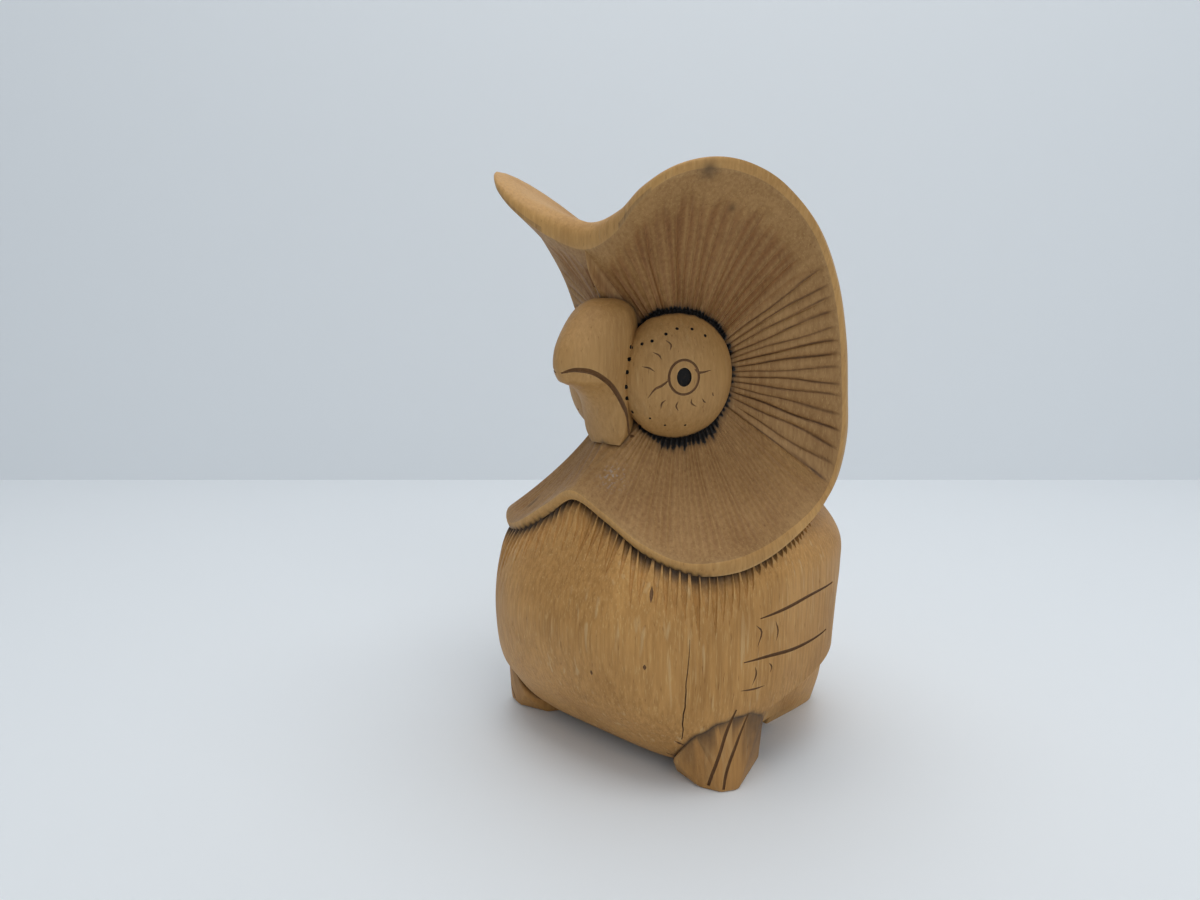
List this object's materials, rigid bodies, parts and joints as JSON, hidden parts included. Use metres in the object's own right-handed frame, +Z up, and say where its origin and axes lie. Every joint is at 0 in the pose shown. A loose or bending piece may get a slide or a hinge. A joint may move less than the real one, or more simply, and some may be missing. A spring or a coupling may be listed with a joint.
{
  "type": "carved wooden owl",
  "caption": "Hand-sized carved wooden owl with a wide fluted hood round its cheeks, hooked beak, bulging eyes and a plump body that stands on its feet and tail.",
  "frame": {"origin": "on the surface that the owl stands on, below the middle of its bounding box", "axes": "+Z up through the head, -Y the way the owl faces, +X its own left side"},
  "size_m": [0.0736, 0.0754, 0.1203],
  "materials": {
    "wood": "satin, hand-carved, with burnt marks round the eyes"
  },
  "bodies": {
    "root": {"carved_owl": "wood"}
  },
  "joints": []
}
